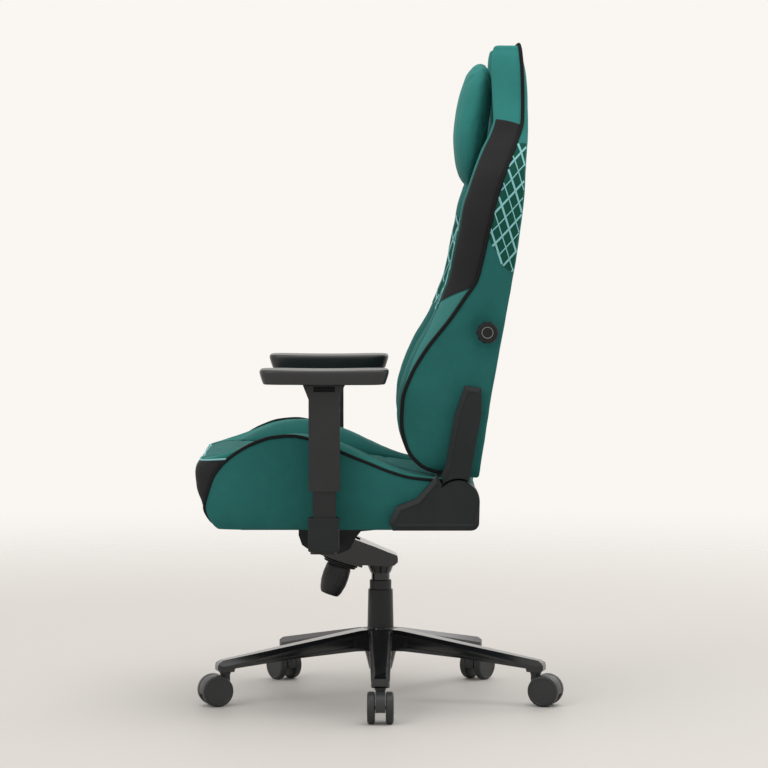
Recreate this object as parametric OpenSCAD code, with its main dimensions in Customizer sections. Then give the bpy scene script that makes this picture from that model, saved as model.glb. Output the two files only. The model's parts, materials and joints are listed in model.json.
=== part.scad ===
// Gaming chair: five-star base on casters, gas lift, front-pivot tilt mechanism,
// bucket seat, reclining back with lumbar adjustment, 4D armrests and a head pillow.
// The chair faces -Y, the sitter's left is +X, and the swivel axis stands at the origin.

/* [Base] */
// Radius from the swivel axis to a leg's tip
base_r = 350; // [335:1:365]
// Height of the hub's top
hub_top = 149; // [145:1:153]
// Outer radius of the hub at its top
hub_r = 29; // [28.5:0.5:31]

/* [Casters] */
// Radius of a caster wheel
wheel_r = 32; // [30:0.5:33]
// Width of one wheel of the pair
wheel_w = 16; // [14:0.5:16.5]
// How far a wheel's axle trails behind its stem
caster_trail = 21; // [18:1:24]

/* [Gas lift] */
// Outer radius of the standing tube at its top
tube_r = 25.5; // [25:0.25:26]
// Top of the standing tube
tube_top = 228; // [222:1:230]
// Radius of the pressure tube that slides in it
pressure_r = 14; // [13:0.5:14]

/* [Tilt mechanism] */
// Fore and aft place of the tilt pivot
pivot_y = -136; // [-138:1:-134]
// Height of the tilt pivot
pivot_z = 354; // [352:1:355]
// Angle of the tension knob's axis from upright
knob_lean = 19; // [17:1:21]

/* [Seat] */
// Height of the seat's underside
seat_z = 374; // [374:1:376]
// Half of the seat's width
seat_half = 262; // [256:1:264]

/* [Back] */
// Fore and aft place of the recline hinge
hinge_y = 155; // [154:1:156]
// Height of the recline hinge
hinge_z = 435; // [434:1:436]

/* [Armrests] */
// Centre of an armrest across the chair
arm_x = 311; // [310:1:314]
// Centre of an armrest fore and aft
arm_y = -111; // [-114:1:-108]
// Length of an armrest pad
pad_l = 256; // [240:1:265]
// Width of an armrest pad
pad_w = 100; // [94:1:104]

/* [Hidden] */
$fn = 64;
LEGS = 5;
SIDES = ["left", "right"];

GAP = 0.05;              // running clearance, on the radius
stem_at = base_r - 16;   // a caster's stem, from the swivel axis
stem_r = 5.5;
axle_r = 4;
wheel_gap = 21;          // between the two wheels of a caster
leg_tip_top = 95;
leg_tip_bottom = 70;
hub_bottom = 62;
hub_waist_r = 23.5;       // outer radius of the hub at its bottom
seat_top_r = 27.2;       // the tube sits in the hub on a cone, this wide at the top
seat_low_r = 20.5;
tube_bottom = 35;
tube_wall = 2.5;
rod_r = 5;
collar_top = tube_top + 19;
boss_bottom = tube_top + 34;
pressure_bottom = 62;
pressure_top = 292;
housing_half = 60;
knob_top = 4.5;          // the knob's top face, below its frame's origin
bracket_x = 68;          // inner face of a bracket cheek
plate_z = 368;           // underside of the bracket's flanges
lip_z = 311;             // front of the housing's lip, which slopes square to the tension knob
pivot_r = 8;
bush_r = 9.5;
lever_y = -98;
lever_z = 330;
lever_r = 5;
lever_end = 269;
knob_y = -84;            // where the knob's axis meets its top face
knob_z = 281;
roll_r = 40;             // rounding of the seat's rear edge, about the recline hinge
hole_bolt_r = 4;
bolt_z = 387;            // bolts that hold the recliner plates to the seat frame
plate_bolts = [45, 100]; // their places fore and aft
arm_plate_x = 264;       // inner face of the back's hinge arms
recliner_x = 270;        // inner face of the seat's hinge plates
cover_x = 263;           // inner face of the plastic covers
cover_w = 25;
cover_wall = 3;
cover_arc = roll_r + 3;  // the covers part along this arc about the hinge
lumbar_y = 213;
lumbar_z = 770;
post_top = 600;
sleeve_bottom = 458;
sleeve_top = 668;
pad_bottom = 670;
pad_top = 701;

// Side outlines as [y, z], front at the left
bolster_side = [[-328, seat_z], [-345, 390], [-353, 414], [-368, 455], [-371, 484], [-363, 508],
    [-345, 517], [-305, 521], [-262, 541], [-215, 557], [-168, 564], [-120, 557], [-72, 543], [-28, 521],
    [12, 503], [59, 488], [90, 480], [118, 470], [150, 474], [150, seat_z]];
centre_side = [[-328, seat_z], [-345, 390], [-353, 414], [-368, 455], [-371, 484], [-363, 508],
    [-342, 522], [-300, 527], [-200, 518], [-80, 504], [30, 489], [90, 480], [118, 470], [150, 474],
    [150, seat_z]];
back_rear = [[197, 474], [209, 555], [218, 617], [230, 677], [241, 739], [252, 800], [263, 860], [278, 950],
    [290, 1050], [295, 1110], [300, 1170], [302, 1225], [298, 1280], [290, 1330], [286, 1345]];
wing_front = [[231, 1343], [226, 1328], [225, 1300], [230, 1196], [215, 1127], [198, 1085], [177, 1058],
    [164, 1020], [156, 978], [146, 925], [137, 885], [122, 842], [92, 779], [73, 745], [57, 711], [45, 677],
    [36, 640], [34, 605], [38, 572], [52, 534], [72, 508], [98, 490], [155, 480]];
pillow_room = [[231, 1343], [231, 1300], [236, 1196], [232, 1100], [205, 1000], [175, 900], [140, 800],
    [112, 720], [100, 650], [104, 580], [118, 520], [134, 490], [155, 480]];
back_half = [[225, 474], [246, 500], [258, 560], [262, 620], [256, 700], [248, 770], [246, 860], [258, 940],
    [268, 1010], [262, 1075], [232, 1130], [190, 1180], [165, 1240], [155, 1300], [146, 1330], [130, 1345]];
seat_cover_side = [[17, 391], [32, 424], [72, 440], [95, 466], [112, 487], [124, 466], [155, 435], [197, 435],
    [197, 396], [188, 380], [176, 376], [24, 376]];
back_cover_side = [[121, 486], [130, 506], [148, 608], [168, 665], [201, 660], [201, 608], [190, 550],
    [178, 480], [155, 440]];
housing_side = [[-148, 364], [-148, 337], [-126, 313], [-35, 281], [16, 277], [29, 279], [36, 285], [37, 292],
    [34, 299], [26, 303], [-86, 349], [-112, 364]];
housing_plan = [[-60, -148], [60, -148], [60, -72], [34, -8], [34, 18], [22, 36], [-22, 36], [-34, 18],
    [-34, -8], [-60, -72]];
cheek_side = [[-168, 372], [-168, 346], [-161, 326], [-142, 313], [-112, 307], [-80, 309], [-62, 318],
    [-50, 342], [-40, 354], [45, 362], [45, 372]];

// Extrudes a side outline across the chair between two places on X
module across(x0, x1) {
    translate([x0, 0, 0]) rotate([90, 0, 90]) linear_extrude(x1 - x0) children();
}

// A round bar along X
module bar_x(x0, x1, r, y, z) {
    translate([x0, y, z]) rotate([0, 90, 0]) cylinder(h = x1 - x0, r = r);
}

// A block given by its lowest and highest corners
module block(low, high) {
    translate(low) cube(high - low);
}

// Places a child on one side of the chair: the sitter's left is as modelled
module sided(side) {
    mirror([side == "right" ? 1 : 0, 0, 0]) children();
}

// Places a child in the frame of one leg, which points along +X there
module on_leg(i) {
    rotate(360 / LEGS * (i - 1)) children();
}

// Frame of the tension knob: +Z points down out of the housing along the knob's axis
module on_knob() {
    translate([0, knob_y, knob_z]) rotate([180 - knob_lean, 0, 0]) children();
}

// ---------------------------------------------------------------- base and casters

// One tapered leg: its side outline meets its plan outline; top edges bevelled, flanks pocketed
module leg() {
    root = 20;
    fall = 9.9;              // slope of the leg's top
    difference() {
        intersection() {
            translate([0, 40, 0]) rotate([90, 0, 0]) linear_extrude(80) polygon([[root, hub_top - 2],
                [50, hub_top - 5], [stem_at - 20, leg_tip_top + 3], [base_r - 8, leg_tip_top - 2],
                [base_r, leg_tip_top - 7], [base_r + 3, leg_tip_top - 14], [base_r + 3, leg_tip_bottom + 4],
                [base_r - 1, leg_tip_bottom], [stem_at - 14, leg_tip_bottom], [stem_at - 16, 77], [190, 92],
                [60, 102], [root, 102]]);
            linear_extrude(hub_top) polygon([[root, 25], [90, 22], [stem_at, 19], [base_r - 6, 18],
                [base_r, 15], [base_r + 2.5, 11], [base_r + 2.5, -11], [base_r, -15], [base_r - 6, -18],
                [stem_at, -19], [90, -22], [root, -25]]);
        }
        for (s = [0, 1]) mirror([0, s, 0]) translate([45, 18, hub_top - 4]) rotate([0, fall, -1.5])
            across(-10, 320) polygon([[-2, 3], [30, 3], [30, -42]]);
        for (s = [-1, 1]) translate([0, s > 0 ? 45 : -15, 0]) rotate([90, 0, 0])
            linear_extrude(30) polygon([[60, hub_top - 22], [stem_at - 60, leg_tip_top - 4],
                [stem_at - 60, 88], [60, 110]]);
        translate([stem_at, 0, leg_tip_bottom - 1]) cylinder(h = 24, r = stem_r + GAP);
    }
}

module base_star() {
    color([0.09, 0.09, 0.1]) difference() {
        union() {
            for (i = [1 : LEGS]) on_leg(i) leg();
            rotate_extrude()
                polygon([[0, hub_bottom], [hub_waist_r, hub_bottom], [hub_r + 4, hub_bottom + 38],
                [hub_r + 4, hub_top - 12], [hub_r + 1, hub_top - 2], [hub_r, hub_top], [0, hub_top]]);
        }
        translate([0, 0, hub_bottom]) cylinder(h = hub_top - hub_bottom, r1 = seat_low_r, r2 = seat_top_r);
    }
}

// Side outline of the body that fills the space between a caster's wheels, in the caster's own frame
module caster_body() {
    half = wheel_gap / 2 - 0.5;
    difference() {
        union() {
            translate([caster_trail, half, wheel_r]) rotate([90, 0, 0])
                cylinder(h = 2 * half, r = wheel_r - 0.5);
            cylinder(h = 2 * wheel_r + 1.5, r = half);
            translate([0, 0, 2 * wheel_r + 1])
                cylinder(h = leg_tip_bottom - 2 * wheel_r - 1.5, r = half + 1.5);
        }
        block([-60, -30, -1], [80, 30, 26]);
        translate([caster_trail, 30, wheel_r]) rotate([90, 0, 0]) cylinder(h = 60, r = axle_r);
        translate([0, 0, 40]) cylinder(h = 60, r = stem_r);
    }
}

module caster_fork(i) {
    reach = wheel_gap / 2 + wheel_w - 2;
    on_leg(i) translate([stem_at, 0, 0]) {
        color([0.1, 0.1, 0.11]) caster_body();
        color([0.6, 0.6, 0.62]) translate([0, 0, 40]) cylinder(h = leg_tip_top - 48, r = stem_r);
        color([0.6, 0.6, 0.62]) translate([caster_trail, reach, wheel_r]) rotate([90, 0, 0])
            cylinder(h = 2 * reach, r = axle_r);
    }
}

// One wheel, its inner face at z = 0 and its outer face at z = wheel_w
module wheel() {
    rotate_extrude() polygon([[axle_r + GAP, 0], [wheel_r - 6, 0], [wheel_r - 1.5, 1], [wheel_r, 3],
        [wheel_r, wheel_w - 4], [wheel_r - 1.2, wheel_w - 1.5], [wheel_r - 4, wheel_w],
        [wheel_r - 5, wheel_w],
        [wheel_r - 6, wheel_w - 1], [10, wheel_w - 1], [0, wheel_w - 1], [0, wheel_w - 1.9],
        [axle_r + GAP, wheel_w - 1.9]]);
}

module caster_wheels(i) {
    color([0.13, 0.13, 0.14]) on_leg(i) for (s = [0, 1])
        translate([stem_at + caster_trail, 0, wheel_r]) rotate([s * 180 - 90, 0, 0])
            translate([0, 0, wheel_gap / 2]) wheel();
}

// ---------------------------------------------------------------- gas lift

module gas_tube() {
    inner = tube_r - tube_wall;
    color([0.1, 0.1, 0.11]) rotate_extrude() polygon([[4.2, tube_bottom], [17.5, tube_bottom],
        [19, tube_bottom + 2], [19, hub_bottom - 2], [seat_low_r, hub_bottom], [seat_top_r, hub_top],
        [tube_r, tube_top - 1], [tube_r - 1, tube_top], [inner, tube_top], [inner, hub_top],
        [17, hub_bottom], [17, tube_bottom + 3], [4.2, tube_bottom + 3]]);
}

module guide_bush() {
    color([0.14, 0.14, 0.15]) rotate_extrude() polygon([[pressure_r + GAP, tube_top - 60],
        [tube_r - tube_wall, tube_top - 60], [tube_r - tube_wall, tube_top], [22.5, tube_top],
        [22.5, collar_top - 1], [21.5, collar_top], [pressure_r + GAP, collar_top]]);
}

module thrust_bearing() {
    balls = 10;
    color([0.7, 0.7, 0.72]) {
        for (z = [0, 5.6]) translate([0, 0, tube_bottom + 3 + z]) difference() {
            cylinder(h = 1.6, r = 14);
            translate([0, 0, -1]) cylinder(h = 4, r = rod_r);
        }
        for (i = [0 : balls - 1]) rotate(360 / balls * i)
            translate([10, 0, tube_bottom + 6.6]) sphere(r = 1.95, $fn = 24);
    }
}

module piston_rod() {
    color([0.75, 0.75, 0.77]) {
        rotate_extrude()
            polygon([[0, tube_bottom - 8], [rod_r - 1, tube_bottom - 8], [rod_r - 1, tube_bottom + 10.3],
            [9, tube_bottom + 10.3], [9, tube_bottom + 15], [rod_r, tube_bottom + 15], [rod_r, 166],
            [12, 166], [12, 176], [rod_r, 176], [rod_r, 184], [0, 184]]);
        difference() {
            translate([0, 0, tube_bottom - 3]) cylinder(h = 2.4, r = 9);
            translate([0, 0, tube_bottom - 4]) cylinder(h = 5, r = rod_r - 1);
        }
    }
}

module pressure_tube() {
    color([0.3, 0.3, 0.32]) rotate_extrude()
        polygon([[rod_r + GAP, pressure_bottom], [pressure_r - 1, pressure_bottom],
        [pressure_r, pressure_bottom + 1], [pressure_r, pressure_top], [0, pressure_top],
        [0, pressure_top - 8],
        [pressure_r - 1.8, pressure_top - 8], [pressure_r - 1.8, pressure_bottom + 8],
        [rod_r + GAP, pressure_bottom + 8]]);
}

// ---------------------------------------------------------------- tilt mechanism

module tilt_housing() {
    color([0.1, 0.1, 0.11]) difference() {
        union() {
            intersection() {
                across(-housing_half, housing_half) polygon(housing_side);
                linear_extrude(400) polygon(housing_plan);
            }
            // lip round the underside
            intersection() {
                across(-62, 62)
                    polygon([[-142, 322], [-141, lip_z], [-38, lip_z - 103 * tan(knob_lean)], [-34, 290]]);
                linear_extrude(400)
                    polygon([[-62, -150], [62, -150], [62, -86], [38, -30], [-38, -30], [-62, -86]]);
            }
            translate([0, 0, boss_bottom]) cylinder(h = 24, r1 = 21, r2 = 31);
            translate([0, 0, collar_top + 0.6]) cylinder(h = boss_bottom - collar_top, r = 19);
            for (s = [-1, 1]) bar_x(s * 55 - 5, s * 55 + 5, 14, pivot_y, pivot_z - 4);
        }
        translate([0, 0, collar_top - 1]) cylinder(h = pressure_top - collar_top + 1, r = pressure_r);
        // well that holds the tension spring
        across(-24, 24) polygon([[-112, 400], [-112, 320], [-42, 297], [-42, 400]]);
        bar_x(-70, 70, bush_r, pivot_y, pivot_z);
        on_knob() translate([0, 0, -40]) cylinder(h = 80, r = 5.2);
        // room for the seat's underside at full tilt
        across(-70, 70)
            polygon([[-112, 380], [-112, 364], [-86, 349], [26, 303], [34, 299], [40, 299], [40, 380]]);
    }
}

module tension_collar() {
    color([0.08, 0.08, 0.09]) on_knob() rotate_extrude()
        polygon([[5.3, -9.7], [39, -9.7], [39, -6.5], [33, -6], [33, -4.5], [37, -4], [37, -2],
            [31, -1.5], [31, 0],
            [34, 0.5], [34, 2.3], [28, 3.3], [5.3, 3.3]]);
}

module tension_knob() {
    ribs = 18;
    color([0.07, 0.07, 0.08]) on_knob() translate([0, 0, knob_top]) difference() {
        rotate_extrude()
            polygon([[0, 0], [24.5, 0], [26, 4], [27.2, 22], [26.5, 38], [23, 54], [19.5, 61.5],
            [17.5, 63], [9, 63], [8, 60], [0, 60]]);
        for (i = [0 : ribs - 1]) rotate(360 / ribs * i) translate([28.8, 0, 8]) cylinder(h = 44, r = 2.8);
        translate([0, 0, -1]) cylinder(h = 30, r = 5);
    }
}

module tension_bolt() {
    color([0.55, 0.55, 0.57]) on_knob() {
        translate([0, 0, -57]) cylinder(h = 86 + knob_top, r = 5);
        translate([0, 0, -62]) cylinder(h = 5.5, r = 9, $fn = 6);
    }
}

// Points of one ring of the spring's wire
function wire_ring(a, turn_r, wire_r, pitch, sides) = [for (k = [0 : sides - 1])
    let (b = 360 / sides * k, r = turn_r + wire_r * cos(b))
    [r * cos(a), r * sin(a), pitch * a / 360 + wire_r * sin(b)]];

// A closed coil: rings of wire joined by quads, with both ends capped
module coil(turns, turn_r, wire_r, pitch, sides = 8, per_turn = 16) {
    n = turns * per_turn;
    points = [for (i = [0 : n]) each wire_ring(i * 360 / per_turn, turn_r, wire_r, pitch, sides)];
    faces = concat([[for (k = [sides - 1 : -1 : 0]) k]],
        [for (i = [0 : n - 1], k = [0 : sides - 1]) let (a = i * sides + k, b = i * sides + (k + 1) % sides)
            each [[a, b, a + sides], [b, b + sides, a + sides]]],
        [[for (k = [0 : sides - 1]) n * sides + k]]);
    polyhedron(points, faces);
}

module tension_spring() {
    color([0.5, 0.5, 0.52]) on_knob() {
        translate([0, 0, -50]) coil(turns = 3, turn_r = 15, wire_r = 2.5, pitch = 6);
        translate([0, 0, -56]) difference() {
            cylinder(h = 3.4, r = 20);
            translate([0, 0, -1]) cylinder(h = 6, r = 5.3);
        }
    }
}

module pivot_bushes() {
    color([0.85, 0.84, 0.8]) for (s = [-1, 1]) difference() {
        bar_x(s * 56 - 7, s * 56 + 7, bush_r, pivot_y, pivot_z);
        bar_x(s * 56 - 8, s * 56 + 8, pivot_r + GAP, pivot_y, pivot_z);
    }
}

module pivot_axle() {
    color([0.6, 0.6, 0.62]) {
        bar_x(-78, 78, pivot_r, pivot_y, pivot_z);
        for (s = [-1, 1]) bar_x(s * 76 - 2, s * 76 + 2, 12, pivot_y, pivot_z);
    }
}

module tilt_bracket() {
    color([0.1, 0.1, 0.11]) difference() {
        union() {
            block([-104, -168, plate_z], [104, -152, plate_z + 4]);
            for (s = [0, 1]) mirror([s, 0, 0]) {
                block([bracket_x, -168, plate_z], [104, 45, plate_z + 4]);
                across(bracket_x, bracket_x + 4) polygon(cheek_side);
                bar_x(bracket_x, bracket_x + 4, 6, 28, 361);
            }
        }
        bar_x(-80, 80, pivot_r, pivot_y, pivot_z);
        bar_x(-80, 80, lever_r + GAP, lever_y, lever_z);
        bar_x(-80, 80, 2.2, 28, 360);
        for (x = [-90, 90], y = [-120, 20]) translate([x, y, plate_z - 1]) cylinder(h = 6, r = hole_bolt_r);
    }
}

// A lever's steel rod, with the cam that pulls the cable inside the cheek
module lever_rod() {
    color([0.5, 0.5, 0.52]) {
        bar_x(62, 190, lever_r, lever_y, lever_z);
        difference() {
            block([62.5, lever_y - 6, lever_z - 20], [66.5, lever_y + 6, lever_z + 6]);
            bar_x(60, 70, lever_r, lever_y, lever_z);
        }
    }
}

// A lever's moulded handle: a round barrel that flattens into a paddle reaching forward
module lever_handle() {
    color([0.09, 0.09, 0.1]) difference() {
        union() {
            bar_x(bracket_x + 5, 196, 11.5, lever_y, lever_z);
            translate([196, lever_y, lever_z]) rotate([0, 90, 0]) cylinder(h = 14, r1 = 11.5, r2 = 4);
            hull() {
                block([192, lever_y - 9, lever_z - 3], [194, lever_y + 9, lever_z + 3]);
                for (y = [lever_y - 34, lever_y + 2]) translate([lever_end - 8, y, lever_z - 3])
                    cylinder(h = 6, r = 8, $fn = 32);
                translate([218, lever_y - 34, lever_z - 3]) cylinder(h = 6, r = 8, $fn = 32);
            }
        }
        bar_x(60, 190, lever_r, lever_y, lever_z);
    }
}

// ---------------------------------------------------------------- seat

module seat_frame() {
    z0 = plate_z + 4;
    z1 = z0 + 20;
    color([0.12, 0.12, 0.13]) difference() {
        union() {
            for (s = [0, 1]) mirror([s, 0, 0]) {
                block([208, -280, z0], [228, 112, z1]);
                block([74, -262, z0], [106, 96, z0 + 6]);
            }
            for (y = [-280, 92]) block([-210, y, z0], [210, y + 20, z1]);
        }
        for (x = [-90, 90], y = [-120, 20]) translate([x, y, z0 - 1]) cylinder(h = 20, r = hole_bolt_r);
        for (y = plate_bolts) bar_x(-240, 240, hole_bolt_r, y, bolt_z);
    }
}

module seat_webbing() {
    straps = 6;
    color([0.2, 0.2, 0.2]) for (i = [0 : straps - 1])
        block([-226, -240 + i * 52, plate_z + 24.2], [226, -205 + i * 52, plate_z + 26.2]);
}

module seat_bolts() {
    color([0.55, 0.55, 0.57]) {
        for (x = [-90, 90], y = [-120, 20]) {
            translate([x, y, plate_z]) cylinder(h = 14, r = hole_bolt_r);
            translate([x, y, plate_z - 5]) cylinder(h = 5, r = 7, $fn = 6);
        }
        for (s = [0, 1], y = plate_bolts) mirror([s, 0, 0]) {
            bar_x(206, recliner_x + 5, hole_bolt_r, y, bolt_z);
            bar_x(recliner_x + 5, recliner_x + 9, 7, y, bolt_z);
        }
    }
}

module seat_cushion() {
    color([0.05, 0.33, 0.3]) difference() {
        union() {
            across(-160, 160) polygon(centre_side);
            for (s = [0, 1]) mirror([s, 0, 0]) across(160, seat_half) polygon(bolster_side);
            difference() {
                bar_x(-seat_half, seat_half, roll_r, hinge_y, hinge_z);
                block([-300, 0, 300], [300, hinge_y - 10, 500]);
            }
            block([-seat_half, 140, seat_z], [seat_half, hinge_y + 25, hinge_z]);
        }
        block([-235, -292, 360], [235, 124, plate_z + 42]);
        bar_x(-300, 300, 6.5, hinge_y, hinge_z);
        for (y = plate_bolts) bar_x(-300, 300, hole_bolt_r + 0.3, y, bolt_z);
    }
}

module recliner_plates() {
    color([0.14, 0.14, 0.15]) for (s = [0, 1]) mirror([s, 0, 0]) difference() {
        union() {
            across(recliner_x, recliner_x + 5)
                polygon([[26, 380], [26, 400], [84, 430], [118, 452], [150, 472],
                [190, 440], [190, 400], [176, 380]]);
            bar_x(recliner_x, recliner_x + 11, 34, hinge_y, hinge_z);
        }
        bar_x(200, 300, 6.5, hinge_y, hinge_z);
        for (y = plate_bolts) bar_x(200, 300, hole_bolt_r, y, bolt_z);
    }
}

// The hollow of a cover, inside its side outline
module cover_hollow() {
    across(cover_x - 1, cover_x + cover_w - cover_wall) offset(delta = -cover_wall) children();
}

// The seat's hinge cover; on the right the recline rod comes out through it
module side_cover(side) {
    color([0.12, 0.13, 0.14]) difference() {
        union() {
            across(cover_x, cover_x + cover_w) polygon(seat_cover_side);
            bar_x(cover_x, cover_x + cover_w, cover_arc, hinge_y, hinge_z);
        }
        cover_hollow() polygon(seat_cover_side);
        bar_x(cover_x - 1, cover_x + cover_w - cover_wall, cover_arc - cover_wall, hinge_y, hinge_z);
        // the back's hinge arm swings through here
        across(cover_x - 1, recliner_x - 0.5)
            polygon([[108, 440], [108, 500], [230, 500], [230, 410], [180, 410], [155, 440]]);
        if (side == "right") bar_x(cover_x, cover_x + cover_w + 5, 6.5, hinge_y, hinge_z);
    }
}

module back_cover() {
    color([0.12, 0.13, 0.14]) difference() {
        across(cover_x, cover_x + cover_w) polygon(back_cover_side);
        cover_hollow() polygon(back_cover_side);
        bar_x(cover_x - 5, cover_x + cover_w + 5, cover_arc + 1, hinge_y, hinge_z);
    }
}

// The bar that joins both recliners and turns with the lever
module recline_rod() {
    color([0.6, 0.6, 0.62]) bar_x(-294, cover_x + cover_w - 4.5, 5, hinge_y, hinge_z);
}

// The lever on the sitter's right that frees the back
module recline_lever() {
    color([0.09, 0.09, 0.1]) mirror([1, 0, 0]) difference() {
        union() {
            bar_x(cover_x + cover_w + 1, cover_x + cover_w + 13, 16, hinge_y, hinge_z);
            hull() {
                bar_x(cover_x + cover_w + 3, cover_x + cover_w + 11, 12, hinge_y, hinge_z);
                bar_x(cover_x + cover_w + 7, cover_x + cover_w + 15, 9, 20, 462);
            }
            hull() {
                bar_x(cover_x + cover_w + 5, cover_x + cover_w + 19, 10, 20, 462);
                bar_x(cover_x + cover_w + 5, cover_x + cover_w + 19, 8, -28, 468);
            }
        }
        bar_x(200, 294, 5, hinge_y, hinge_z);
    }
}

// ---------------------------------------------------------------- back

// The upright tubes lean back with the rear shell
module back_tube(x, r, from_z, to_z) {
    lean = 7;
    translate([x, 160 + (from_z - 500) * tan(lean), from_z]) rotate([-lean, 0, 0])
        cylinder(h = (to_z - from_z) / cos(lean), r = r);
}

// Tubes of the back's frame, with r added all round so that the cushion can be cut to fit
module back_tubes(grow = 0) {
    for (x = [-140, 140]) back_tube(x, 11 + grow, 505, 1230);
    for (z = [520, 900, 1215]) bar_x(-140 - grow, 140 + grow, 9 + grow, 160 + (z - 500) * tan(7), z);
    bar_x(-arm_plate_x - 2, arm_plate_x + 2, 9 + grow, 162.5, 520);
}

module back_frame() {
    color([0.12, 0.12, 0.13]) {
        difference() {
            union() {
                back_tubes();
                for (s = [0, 1]) mirror([s, 0, 0]) across(arm_plate_x, arm_plate_x + 5) union() {
                    polygon([[140, 440], [153, 600], [168, 645], [187, 645], [187, 600], [165, 440]]);
                    translate([hinge_y, hinge_z]) circle(r = 30);
                }
            }
            bar_x(-300, 300, 6.5, hinge_y, hinge_z);
        }
    }
}

module back_cushion() {
    last = len(back_half) - 1;
    outline = concat(back_half, [for (i = [last : -1 : 0]) [-back_half[i][0], back_half[i][1]]]);
    color([0.05, 0.33, 0.3]) difference() {
        intersection() {
            translate([0, 400, 0]) rotate([90, 0, 0]) linear_extrude(400) polygon(outline);
            union() {
                across(-150, 150) polygon(concat(back_rear, pillow_room));
                for (s = [0, 1]) mirror([s, 0, 0]) across(150, 280) polygon(concat(back_rear, wing_front));
            }
        }
        back_tubes(0.4);
        block([-132, 152.5, 690], [132, 218, 822]);
        bar_x(-300, 300, 5, lumbar_y, lumbar_z);
    }
}

// Carriage of the lumbar support, raised and lowered by the right knob
module lumbar_carriage() {
    color([0.3, 0.3, 0.32]) for (x = [-60, 60]) block([x - 8, 190, 712], [x + 8, 196, 798]);
}

// Springy plate of the lumbar support, pushed forward by the left knob
module lumbar_plate() {
    color([0.3, 0.3, 0.32]) block([-110, 168, 716], [110, 171, 794]);
}

module lumbar_knob() {
    lobes = 10;
    face = 252;
    color([0.08, 0.08, 0.09]) {
        translate([face, lumbar_y, lumbar_z]) rotate([0, 90, 0]) difference() {
            rotate_extrude()
                polygon([[0, 0], [17, 0], [17, 5], [21, 7], [22, 10], [22, 17], [20, 20], [13, 21],
                [12, 19.5], [0, 19.5]]);
            for (i = [0 : lobes - 1]) rotate(360 / lobes * i)
                translate([24.5, 0, 6]) cylinder(h = 20, r = 4.2);
        }
        bar_x(140, face, 4.5, lumbar_y, lumbar_z);
    }
}

module head_pillow() {
    color([0.06, 0.37, 0.33]) hull() for (s = [-1, 1]) {
        translate([s * 103, 189, 1235]) sphere(r = 36, $fn = 28);
        translate([s * 105, 183, 1150]) sphere(r = 35, $fn = 28);
        translate([s * 80, 195, 1277]) sphere(r = 24, $fn = 28);
        translate([s * 80, 177, 1089]) sphere(r = 26, $fn = 28);
    }
}

// ---------------------------------------------------------------- armrests

module arm_bracket() {
    color([0.1, 0.1, 0.11]) {
        difference() {
            union() {
                block([arm_x - 19, arm_y - 32, 338], [arm_x + 17, arm_y + 29, 405]);
                block([112, arm_y - 22, 366], [arm_x - 15, arm_y + 22, 372]);
            }
            block([arm_x - 13, arm_y - 23, 344], [arm_x + 11, arm_y + 23, 410]);
        }
    }
}

module arm_post() {
    color([0.13, 0.13, 0.14]) block([arm_x - 13, arm_y - 23, 344], [arm_x + 11, arm_y + 23, post_top]);
}

module arm_sleeve() {
    front = arm_y - 31;
    rear = arm_y + 31;
    color([0.09, 0.09, 0.1]) difference() {
        union() {
            across(arm_x - 17, arm_x + 15)
                polygon([[front, sleeve_bottom], [front, 640], [front - 11, sleeve_top],
                [rear + 10, sleeve_top], [rear, 650], [rear, sleeve_bottom]]);
        }
        block([arm_x - 13.5, arm_y - 23.5, sleeve_bottom - 1], [arm_x + 11.5, arm_y + 23.5, 651]);
        translate([arm_x, arm_y, 654]) cylinder(h = 20, r = 8 + GAP);
        block([arm_x + 9, arm_y - 21, 655], [arm_x + 20, arm_y + 21, 666]);
    }
}

module arm_button() {
    color([0.16, 0.16, 0.17]) block([arm_x + 12.3, arm_y - 20, 656], [arm_x + 16.5, arm_y + 20, 665]);
}

module arm_swivel() {
    color([0.3, 0.3, 0.32]) translate([arm_x, arm_y, 0]) {
        translate([0, 0, 655]) cylinder(h = 14, r = 8);
        translate([0, 0, sleeve_top + 0.3]) cylinder(h = 1.3, r = 26);
    }
}

module arm_slide() {
    color([0.25, 0.25, 0.27])
        block([arm_x - 30, arm_y - 26, sleeve_top + 1.9], [arm_x + 30, arm_y + 26, sleeve_top + 5.9]);
}

// Plan of a pad, inset all round
module pad_plan(inset, z, h) {
    corner = 18;
    translate([0, 0, z]) linear_extrude(h) for (x = [-1, 1], y = [-1, 1])
        translate([x * (pad_w / 2 - inset - corner), y * (pad_l / 2 - inset - corner)])
            circle(r = corner, $fn = 32);
}

module arm_pad() {
    color([0.1, 0.1, 0.11]) translate([arm_x, arm_y, 0]) difference() {
        hull() {
            pad_plan(12, pad_bottom, 1);
            pad_plan(0, 686, 8);
            pad_plan(6, pad_top - 1, 1);
        }
        block([-30.4, -56, pad_bottom - 1], [30.4, 56, sleeve_top + 6.3]);
    }
}

// ---------------------------------------------------------------- assembly

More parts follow.
